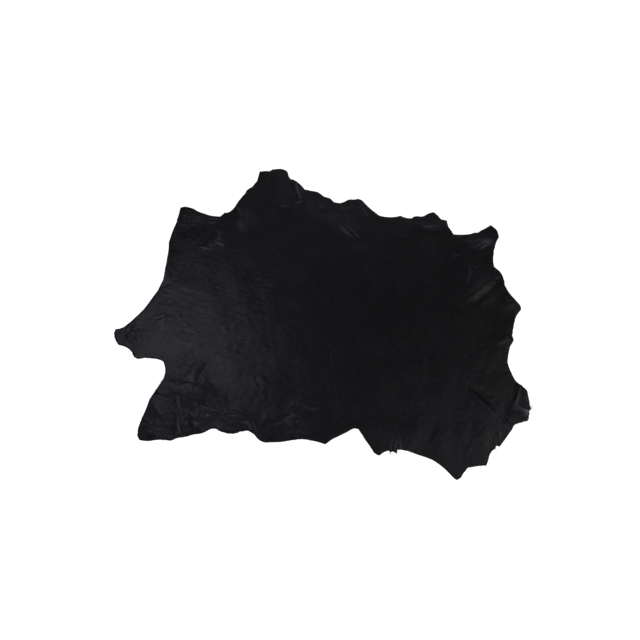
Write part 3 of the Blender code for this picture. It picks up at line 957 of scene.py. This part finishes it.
def grain_side(settings, grain, mottle):
    """The grain side: black, cloudy in its gloss, with browner wear at the rim and on the crests."""
    glossier, duller, pore_dulling = 0.02, 0.05, 0.1
    material, tree, shader, place = new_material("hide_grain_side", settings.specular)
    spots = patterned(tree, mottle, place, settings.mottle_scale)
    pebbles = patterned(tree, grain, place, 1.0 / settings.grain_size)
    crumpled = marked(tree, "crumpled")
    smooth, rough = settings.roughness - glossier, settings.roughness + duller
    gloss = ranged(tree, spots["Cloudy"], to_low=smooth, to_high=rough)
    dull = maths(tree, "ADD", gloss, maths(tree, "MULTIPLY", pebbles["Pores"], pore_dulling))
    dye = grain_dye(tree, settings, spots, crumpled)
    finish(tree, shader, dye, dull, grain_relief(tree, settings, place, pebbles, crumpled))
    return material


def cloudy_dye(tree, mottle, place, patches, colour, darkest, lightest):
    """A plain cloudy colour: the mottle's outputs, and the colour between two shares of itself."""
    spots = patterned(tree, mottle, place, patches)
    return spots, blended(tree, spots["Cloudy"], scaled(colour, darkest), scaled(colour, lightest))


def cut_edge(settings, mottle):
    """The raw cut edge: dark brown fibres with the dye soaked in."""
    patches, naps, nap_depth = 60.0, 1500.0, 0.0003
    material, tree, shader, place = new_material("hide_cut_edge", specular=0.15)
    _, dye = cloudy_dye(tree, mottle, place, patches, settings.rim_colour, darkest=0.7, lightest=1.3)
    nap = noise(tree, place, naps, detail=3.0, roughness=0.6)
    rough = ranged(tree, nap, to_low=0.7, to_high=0.95)
    finish(tree, shader, dye, rough, bumped(tree, nap, nap_depth, strength=0.6))
    return material


def flesh_side(settings, grain, mottle):
    """The flesh side: a dull, napped charcoal suede."""
    patches, naps, fibres, fibre_depth = 9.0, 2200.0, 1700.0, 0.0003
    material, tree, shader, place = new_material("hide_flesh_side", specular=0.12, sheen=0.25)
    _, dye = cloudy_dye(tree, mottle, place, patches, settings.flesh_colour, darkest=0.75, lightest=1.3)
    nap = noise(tree, place, naps, detail=3.0, roughness=0.65)
    rough = ranged(tree, nap, to_low=0.8, to_high=1.0)
    height = patterned(tree, grain, place, fibres)["Height"]
    finish(tree, shader, dye, rough, bumped(tree, height, fibre_depth, strength=0.7))
    return material


def fibre_material(settings, mottle):
    """Loose fibres: the edge's brown-black, lighter in places."""
    patches = 25.0
    material, tree, shader, place = new_material("hide_fibres", specular=0.2, sheen=0.1)
    spots, dye = cloudy_dye(tree, mottle, place, patches, settings.rim_colour, darkest=0.8, lightest=1.8)
    finish(tree, shader, dye, ranged(tree, spots["Broad"], to_low=0.6, to_high=0.85))
    return material


# ------------------------------------------------------------------------------------------ properties


class HideSettings(bpy.types.PropertyGroup):
    """Sizes and colours of the hide itself."""

    fine_step: bpy.props.FloatProperty(
        name="Fine spacing", description="Between points on creases", default=3.3 * MM, unit="LENGTH"
    )
    wide_step: bpy.props.FloatProperty(
        name="Wide spacing", description="Between points on flat leather", default=7.0 * MM, unit="LENGTH"
    )
    fine_bend: bpy.props.FloatProperty(
        name="Fine bend", description="Bend that calls for close points", default=0.055 * MM, unit="LENGTH"
    )
    rim_step: bpy.props.FloatProperty(
        name="Rim spacing", description="Between points along the rim", default=2.8 * MM, unit="LENGTH"
    )
    raggedness: bpy.props.FloatProperty(
        name="Raggedness", description="How far the rim wanders", default=0.55 * MM, unit="LENGTH"
    )
    edge_round: bpy.props.FloatProperty(
        name="Edge rounding", description="How far the cut edge bulges", default=0.3 * MM, unit="LENGTH"
    )
    rim_taper: bpy.props.FloatProperty(
        name="Rim taper", description="Share of the thickness pared away at the rim", default=0.45,
        min=0.0, max=0.9,
    )
    edge_wear_reach: bpy.props.FloatProperty(
        name="Edge wear", description="How far in the rim's wear reaches", default=16 * MM, unit="LENGTH"
    )
    crest_height: bpy.props.FloatProperty(
        name="Crest height", description="Relief that counts as a full crest", default=1.6 * MM, unit="LENGTH"
    )
    swell: bpy.props.FloatProperty(
        name="Swell", description="Height of the slow rolls of the sheet", default=0.55 * MM, unit="LENGTH"
    )
    grain_size: bpy.props.FloatProperty(
        name="Grain size", description="Width of one pebble of the grain", default=0.9 * MM, unit="LENGTH"
    )
    grain_depth: bpy.props.FloatProperty(
        name="Grain depth", description="Depth between the pebbles", default=0.07 * MM, unit="LENGTH"
    )
    wrinkle_depth: bpy.props.FloatProperty(
        name="Wrinkle depth", description="Depth of the finest wrinkles", default=0.31 * MM, unit="LENGTH"
    )
    wrinkle_scale: bpy.props.FloatProperty(
        name="Wrinkles", description="Fine wrinkles in a metre", default=190.0, min=1.0
    )
    neck_turn: bpy.props.FloatProperty(
        name="Neck streaks", description="Turn from +X of the streaks in the neck half",
        default=math.radians(-6.0), unit="ROTATION",
    )
    butt_turn: bpy.props.FloatProperty(
        name="Butt streaks", description="Turn from +X of the streaks in the butt half",
        default=math.radians(104.0), unit="ROTATION",
    )
    streak_scale: bpy.props.FloatProperty(
        name="Streaks", description="Glazing streaks in a metre", default=110.0, min=1.0
    )
    streak_share: bpy.props.FloatProperty(
        name="Streak depth", description="Depth of the streaks beside the wrinkles", default=1.45, min=0.0
    )
    crackle_scale: bpy.props.FloatProperty(
        name="Crackle", description="Small creases in a metre of crumpled leather", default=85.0, min=1.0
    )
    crackle_share: bpy.props.FloatProperty(
        name="Crackle depth", description="Depth of the crackle beside the wrinkles", default=10.0, min=0.0
    )
    mottle_scale: bpy.props.FloatProperty(
        name="Mottle", description="Dye patches in a metre", default=5.0, min=0.1
    )
    roughness: bpy.props.FloatProperty(
        name="Roughness", description="Roughness of the grain side", default=0.31, min=0.0, max=1.0
    )
    specular: bpy.props.FloatProperty(
        name="Specular", description="Strength of the gloss", default=0.42, min=0.0, max=1.0
    )
    grain_colour: bpy.props.FloatVectorProperty(
        name="Grain side", description="Dye of the grain side", subtype="COLOR", size=4,
        default=(0.0012, 0.0013, 0.0017, 1.0),
    )
    # Painted shade: the near-black colour of the painted dark line of shade right at the rim.
    rim_shade_colour: bpy.props.FloatVectorProperty(
        name="Rim line", description="Painted dark line of shade right at the rim", subtype="COLOR", size=4,
        default=(0.0003, 0.0003, 0.0004, 1.0),
    )
    # Painted highlight: the light grey laid along the crests of sharp ridges.
    ridge_highlight_colour: bpy.props.FloatVectorProperty(
        name="Ridge highlight", description="Painted highlight along sharp ridges", subtype="COLOR", size=4,
        default=(0.034, 0.031, 0.035, 1.0),
    )
    rim_colour: bpy.props.FloatVectorProperty(
        name="Rim", description="Worn leather at the rim", subtype="COLOR", size=4,
        default=(0.0092, 0.0062, 0.0080, 1.0),
    )
    flesh_colour: bpy.props.FloatVectorProperty(
        name="Flesh side", description="Suede of the underside", subtype="COLOR", size=4,
        default=(0.022, 0.021, 0.022, 1.0),
    )
    seed: bpy.props.IntProperty(name="Seed", description="Chance in folds and rim", default=7)


class FibreSettings(bpy.types.PropertyGroup):
    """Sizes of the loose fibres along the rim."""

    spacing: bpy.props.FloatProperty(
        name="Spacing", description="Between fibres along the rim", default=2.6 * MM, unit="LENGTH"
    )
    length: bpy.props.FloatProperty(
        name="Length", description="Length of a common fibre", default=2.2 * MM, unit="LENGTH"
    )
    radius: bpy.props.FloatProperty(
        name="Radius", description="Radius of a fibre at its root", default=0.11 * MM, unit="LENGTH"
    )
    seed: bpy.props.IntProperty(name="Seed", description="Chance in the fibres", default=11)


class StageSettings(bpy.types.PropertyGroup):
    """The floor, the camera and the lights."""

    floor_colour: bpy.props.FloatVectorProperty(
        name="Floor", description="Colour of the floor", subtype="COLOR", size=4,
        default=(0.9, 0.9, 0.9, 1.0),
    )
    floor_glow: bpy.props.FloatProperty(
        name="Floor glow", description="Light that comes through the floor", default=0.4, min=0.0
    )
    floor_size: bpy.props.FloatProperty(
        name="Floor size", description="Side of the floor", default=40.0, unit="LENGTH"
    )
    azimuth: bpy.props.FloatProperty(
        name="Camera azimuth", description="Round the hide from the near side", default=math.radians(14.0),
        unit="ROTATION",
    )
    elevation: bpy.props.FloatProperty(
        name="Camera elevation", description="Above the floor", default=math.radians(55.0), unit="ROTATION"
    )
    distance: bpy.props.FloatProperty(
        name="Camera distance", description="From the aim point", default=1.8, unit="LENGTH"
    )
    aim: bpy.props.FloatVectorProperty(
        name="Camera aim", description="Point on the floor in mid-picture", subtype="XYZ", unit="LENGTH",
        default=(-0.0235, -0.0508, 0.0),
    )
    view_angle: bpy.props.FloatProperty(
        name="View angle", description="Across the square picture", default=math.radians(52.0),
        unit="ROTATION",
    )
    world_light: bpy.props.FloatProperty(
        name="Room light", description="Even light of the room", default=0.041, min=0.0
    )
    key_light: bpy.props.FloatProperty(
        name="Key light", description="Soft sun from behind the camera", default=3.6, min=0.0
    )
    sheen_light: bpy.props.FloatProperty(
        name="Sheen light", description="Panel mirrored in the near shoulder", default=3.0, min=0.0
    )
    tip_light: bpy.props.FloatProperty(
        name="Tip lights", description="Small panels mirrored in the near tip of the neck and the shoulder",
        default=0.36, min=0.0,
    )
    far_light: bpy.props.FloatProperty(
        name="Far light", description="Dim panel beyond the far legs", default=4.3, min=0.0
    )
    near_light: bpy.props.FloatProperty(
        name="Near light", description="Dim panel over the near hind leg", default=1.95, min=0.0
    )
    belly_light: bpy.props.FloatProperty(
        name="Belly light", description="Dim panel over the near belly", default=0.16, min=0.0
    )
    neck_light: bpy.props.FloatProperty(
        name="Neck light", description="Small panel beside the neck, for the near leg", default=0.3, min=0.0
    )
    butt_light: bpy.props.FloatProperty(
        name="Butt light", description="Dim panel mirrored in the butt", default=1.12, min=0.0
    )
    side_light: bpy.props.FloatProperty(
        name="Side light", description="Low panels at the left and right, for the grain seen from the sides",
        default=3.0, min=0.0,
    )
    rim_light: bpy.props.FloatProperty(
        name="Rim light", description="Small panel that picks out the butt's folds", default=2.6, min=0.0
    )


# ------------------------------------------------------------------------------------------- operators


def rim_guide(ring, surface, taper):
    """The line that the fibres grow from: half way up the cut edge, with a mark where the skin is torn."""
    top = surface.top(ring)
    under = surface.under(top)
    edge = under + 0.5 * (1.0 - taper) * (top - under)
    guide = bpy.data.meshes.new("rim_guide")
    links = [(i, (i + 1) % len(ring)) for i in range(len(ring))]
    guide.from_pydata(np.column_stack((ring, edge)).tolist(), links, [])
    torn = np.zeros(len(ring))
    for x, y, reach in FRAYS:
        away = np.linalg.norm(ring - drawn((x, y)), axis=1)
        torn = np.maximum(torn, hump(away / (reach * MM)))
    guide.attributes.new("torn", "FLOAT", "POINT").data.foreach_set("value", torn)


class HIDE_OT_lay(bpy.types.Operator):
    """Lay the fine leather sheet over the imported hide"""

    bl_idname = "hide.lay"
    bl_label = "Lay the hide"

    def execute(self, context):
        settings = context.scene.hide_settings
        packed = PackedHide(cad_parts[NODE])
        surface = HideSurface(packed, packed.thickness, settings.swell, settings.seed)
        ring = smooth_rim(packed.rim, settings.rim_step, settings.raggedness, settings.seed + RIM_CHANCE)
        mesh = hide_mesh(HIDE, ring, surface, settings)
        hide = bpy.data.objects.new(HIDE, mesh)
        context.scene.collection.objects.link(hide)
        grain, mottle = grain_group(), mottle_group()
        mesh.materials.append(grain_side(settings, grain, mottle))
        mesh.materials.append(cut_edge(settings, mottle))
        mesh.materials.append(flesh_side(settings, grain, mottle))
        rim_guide(ring, surface, settings.rim_taper)
        hide["plan_area"] = plan_area(ring)
        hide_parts(NODE)
        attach(hide, BODY)
        return {"FINISHED"}


def random_value(tree, kind, low, high, seed):
    """The output of one Random Value node."""
    node = add_node(tree, "FunctionNodeRandomValue", data_type=kind)
    at = {"FLOAT_VECTOR": 0, "FLOAT": 1}[kind]
    node.inputs[2 * at].default_value = low
    node.inputs[2 * at + 1].default_value = high
    tree.links.new(seed, node.inputs["Seed"])
    return node.outputs[at]


def one_fibre(tree, length, radius):
    """A fibre along +Z with a slight bend, round at its root and tapering to its tip."""
    bend, bend_height, taper = 0.28, 0.55, 0.8
    sides = segments = 3
    middle = add_node(tree, "ShaderNodeCombineXYZ", ((2, maths(tree, "MULTIPLY", length, bend_height)),))
    end = add_node(tree, "ShaderNodeCombineXYZ", ((0, maths(tree, "MULTIPLY", length, bend)), (2, length)))
    strand = add_node(
        tree,
        "GeometryNodeCurveQuadraticBezier",
        (
            ("Resolution", segments),
            ("Start", (0.0, 0.0, 0.0)),
            ("Middle", middle.outputs[0]),
            ("End", end.outputs[0]),
        ),
    )
    share = add_node(tree, "GeometryNodeSplineParameter").outputs["Factor"]
    width = maths(tree, "SUBTRACT", 1.0, maths(tree, "MULTIPLY", share, taper))
    profile_values = (("Resolution", sides), ("Radius", radius))
    profile = add_node(tree, "GeometryNodeCurvePrimitiveCircle", profile_values, mode="RADIUS")
    thick = add_node(tree, "GeometryNodeSetCurveRadius", ((0, strand.outputs[0]), ("Radius", width)))
    fibre = add_node(
        tree,
        "GeometryNodeCurveToMesh",
        (("Curve", thick.outputs[0]), ("Profile Curve", profile.outputs[0]), ("Fill Caps", True)),
    )
    return fibre.outputs[0]


def fibre_tree(material):
    """Geometry Nodes: short tapering fibres that stand out of a closed line at uneven angles."""
    usual_chance, torn_chance = 0.42, 0.6
    stray_low, stray_high = (-0.9, -0.9, 0.0), (0.9, 0.9, 0.5)
    shortest, longest, torn_growth = 0.4, 1.6, 1.8
    tree = bpy.data.node_groups.new("rim fibres", "GeometryNodeTree")
    tree.interface.new_socket("Geometry", in_out="INPUT", socket_type="NodeSocketGeometry")
    for label in ("Spacing", "Length", "Radius"):
        tree.interface.new_socket(label, in_out="INPUT", socket_type="NodeSocketFloat")
    tree.interface.new_socket("Seed", in_out="INPUT", socket_type="NodeSocketInt")
    tree.interface.new_socket("Geometry", in_out="OUTPUT", socket_type="NodeSocketGeometry")
    given, result = tree.nodes.new("NodeGroupInput").outputs, tree.nodes.new("NodeGroupOutput")
    second_seed, third_seed = (maths(tree, "ADD", given["Seed"], step) for step in (1.0, 2.0))
    curve = add_node(tree, "GeometryNodeMeshToCurve", (("Mesh", given["Geometry"]),))
    spaced = (("Curve", curve.outputs[0]), ("Length", given["Spacing"]))
    places = add_node(tree, "GeometryNodeResampleCurve", spaced, mode="LENGTH")
    torn = add_node(tree, "GeometryNodeInputNamedAttribute", ((0, "torn"),), data_type="FLOAT").outputs[0]
    chance = random_value(tree, "FLOAT", 0.0, 1.0, given["Seed"])
    likely = maths(tree, "ADD", maths(tree, "MULTIPLY", torn, torn_chance), usual_chance)
    chosen = maths(tree, "LESS_THAN", chance, likely)
    across = ((0, add_node(tree, "GeometryNodeInputTangent").outputs[0]), (1, (0.0, 0.0, 1.0)))
    out = add_node(tree, "ShaderNodeVectorMath", across, operation="CROSS_PRODUCT")
    stray = random_value(tree, "FLOAT_VECTOR", stray_low, stray_high, second_seed)
    way = add_node(tree, "ShaderNodeVectorMath", ((0, out.outputs[0]), (1, stray)), operation="ADD")
    turned = add_node(tree, "FunctionNodeAlignRotationToVector", (("Vector", way.outputs[0]),), axis="Z")
    growth = maths(tree, "ADD", 1.0, maths(tree, "MULTIPLY", torn, torn_growth))
    length = maths(tree, "MULTIPLY", random_value(tree, "FLOAT", shortest, longest, third_seed), growth)
    size = add_node(tree, "ShaderNodeCombineXYZ", ((0, length), (1, length), (2, length)))
    placed = add_node(
        tree,
        "GeometryNodeInstanceOnPoints",
        (
            ("Points", places.outputs[0]),
            ("Selection", chosen),
            ("Instance", one_fibre(tree, given["Length"], given["Radius"])),
            ("Rotation", turned.outputs[0]),
            ("Scale", size.outputs[0]),
        ),
    )
    real = add_node(tree, "GeometryNodeRealizeInstances", ((0, placed.outputs[0]),))
    finished = (("Geometry", real.outputs[0]), ("Material", material))
    painted = add_node(tree, "GeometryNodeSetMaterial", finished)
    tree.links.new(painted.outputs[0], result.inputs[0])
    return tree


class HIDE_OT_fibres(bpy.types.Operator):
    """Raise the loose fibres along the hide's rim"""

    bl_idname = "hide.fibres"
    bl_label = "Raise the rim fibres"

    def execute(self, context):
        settings = context.scene.fibre_settings
        guide = bpy.data.objects.new("rim_guide", bpy.data.meshes["rim_guide"])
        context.scene.collection.objects.link(guide)
        mottle = bpy.data.node_groups["dye mottle"]
        tree = fibre_tree(fibre_material(context.scene.hide_settings, mottle))
        modifier = guide.modifiers.new("Fibres", "NODES")
        modifier.node_group = tree
        for item in tree.interface.items_tree:
            if item.in_out == "INPUT" and item.name != "Geometry":
                modifier[item.identifier] = getattr(settings, item.name.lower())
        context.view_layer.update()
        grown = guide.evaluated_get(context.evaluated_depsgraph_get())
        mesh = bpy.data.meshes.new_from_object(grown)
        mesh.name = FIBRES
        for vert in mesh.vertices:
            vert.co.z = max(vert.co.z, settings.radius)
        bpy.data.objects.remove(guide)
        fibres = bpy.data.objects.new(FIBRES, mesh)
        context.scene.collection.objects.link(fibres)
        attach(fibres, BODY)
        return {"FINISHED"}


def aimed(kind, name, place, target, **settings):
    """A light that points from its place at its target."""
    data = bpy.data.lights.new(name, kind)
    for key, value in settings.items():
        setattr(data, key, value)
    lamp = bpy.data.objects.new(name, data)
    lamp.location = place
    lamp.rotation_mode = "QUATERNION"
    lamp.rotation_quaternion = (Vector(target) - Vector(place)).to_track_quat("-Z", "Y")
    bpy.context.scene.collection.objects.link(lamp)


class HIDE_OT_stage(bpy.types.Operator):
    """Set the floor, the camera and the lights"""

    bl_idname = "hide.stage"
    bl_label = "Set the stage"

    def execute(self, context):
        settings = context.scene.stage_settings
        self.floor(context, settings)
        self.camera(context, settings)
        self.room(context, settings)
        self.lights(settings)
        context.scene.view_settings.view_transform = "Standard"
        return {"FINISHED"}

    def floor(self, context, settings):
        """A wide pale floor that glows a little, so that it stays white round the dark hide."""
        half = 0.5 * settings.floor_size
        mesh = bpy.data.meshes.new("floor")
        corners = ((-half, -half, 0.0), (half, -half, 0.0), (half, half, 0.0), (-half, half, 0.0))
        mesh.from_pydata(corners, [], [(0, 1, 2, 3)])
        floor = bpy.data.objects.new("floor", mesh)
        context.scene.collection.objects.link(floor)
        material, _, shader, _ = new_material("floor_paint", specular=0.0)
        shader.inputs["Base Color"].default_value = tuple(settings.floor_colour)
        shader.inputs["Roughness"].default_value = 1.0
        shader.inputs["Emission Color"].default_value = tuple(settings.floor_colour)
        shader.inputs["Emission Strength"].default_value = settings.floor_glow
        mesh.materials.append(material)

    def camera(self, context, settings):
        """The camera, set by the angles from which it looks at its aim point."""
        data = bpy.data.cameras.new("camera")
        data.sensor_width = 36.0
        data.lens = 0.5 * data.sensor_width / math.tan(0.5 * settings.view_angle)
        camera = bpy.data.objects.new("camera", data)
        level, height = math.cos(settings.elevation), math.sin(settings.elevation)
        back = Vector((math.sin(settings.azimuth) * level, -math.cos(settings.azimuth) * level, height))
        camera.location = Vector(settings.aim) + settings.distance * back
        camera.rotation_mode = "QUATERNION"
        camera.rotation_quaternion = (-back).to_track_quat("-Z", "Y")
        context.scene.collection.objects.link(camera)
        context.scene.camera = camera

    def room(self, context, settings):
        """Even light of the room on the hide, before a plain white that only the camera sees."""
        world = bpy.data.worlds.new("room")
        world.use_nodes = True
        tree = world.node_tree
        background = tree.nodes["Background"]
        background.inputs["Color"].default_value = (0.78, 0.91, 1.0, 1.0)
        background.inputs["Strength"].default_value = settings.world_light
        white = (("Color", (1.0, 1.0, 1.0, 1.0)), ("Strength", 1.0))
        seen = add_node(tree, "ShaderNodeBackground", white)
        path = add_node(tree, "ShaderNodeLightPath")
        choice = ((0, path.outputs["Is Camera Ray"]), (1, background.outputs[0]), (2, seen.outputs[0]))
        mix = add_node(tree, "ShaderNodeMixShader", choice)
        tree.links.new(mix.outputs[0], tree.nodes["World Output"].inputs["Surface"])
        context.scene.world = world

    def lights(self, settings):
        """A soft sun and the panels that the hide mirrors."""
        spread = math.radians(20)
        aimed("SUN", "key", (1.3, -2.3, 2.2), MIDDLE, energy=settings.key_light, angle=spread)
        for name, light, place, target, side, colour in PANELS:
            energy = getattr(settings, light)
            aimed("AREA", name, place, target, energy=energy, shape="SQUARE", size=side, color=colour)


class HIDE_PT_sidebar(bpy.types.Panel):
    """The steps that make the hide, in order"""

    bl_idname = "HIDE_PT_sidebar"
    bl_label = "Leather hide"
    bl_space_type = "VIEW_3D"
    bl_region_type = "UI"
    bl_category = "Hide"

    def draw(self, context):
        for operator in (HIDE_OT_lay, HIDE_OT_fibres, HIDE_OT_stage):
            self.layout.operator(operator.bl_idname)


CLASSES = (
    HideSettings,
    FibreSettings,
    StageSettings,
    HIDE_OT_lay,
    HIDE_OT_fibres,
    HIDE_OT_stage,
    HIDE_PT_sidebar,
)


def register():
    for cls in CLASSES:
        bpy.utils.register_class(cls)
    bpy.types.Scene.hide_settings = bpy.props.PointerProperty(type=HideSettings)
    bpy.types.Scene.fibre_settings = bpy.props.PointerProperty(type=FibreSettings)
    bpy.types.Scene.stage_settings = bpy.props.PointerProperty(type=StageSettings)


def unregister():
    del bpy.types.Scene.stage_settings
    del bpy.types.Scene.fibre_settings
    del bpy.types.Scene.hide_settings
    for cls in reversed(CLASSES):
        bpy.utils.unregister_class(cls)


def main():
    register()
    bpy.ops.hide.lay()
    bpy.ops.hide.fibres()
    bpy.ops.hide.stage()


if __name__ == "__main__":
    main()
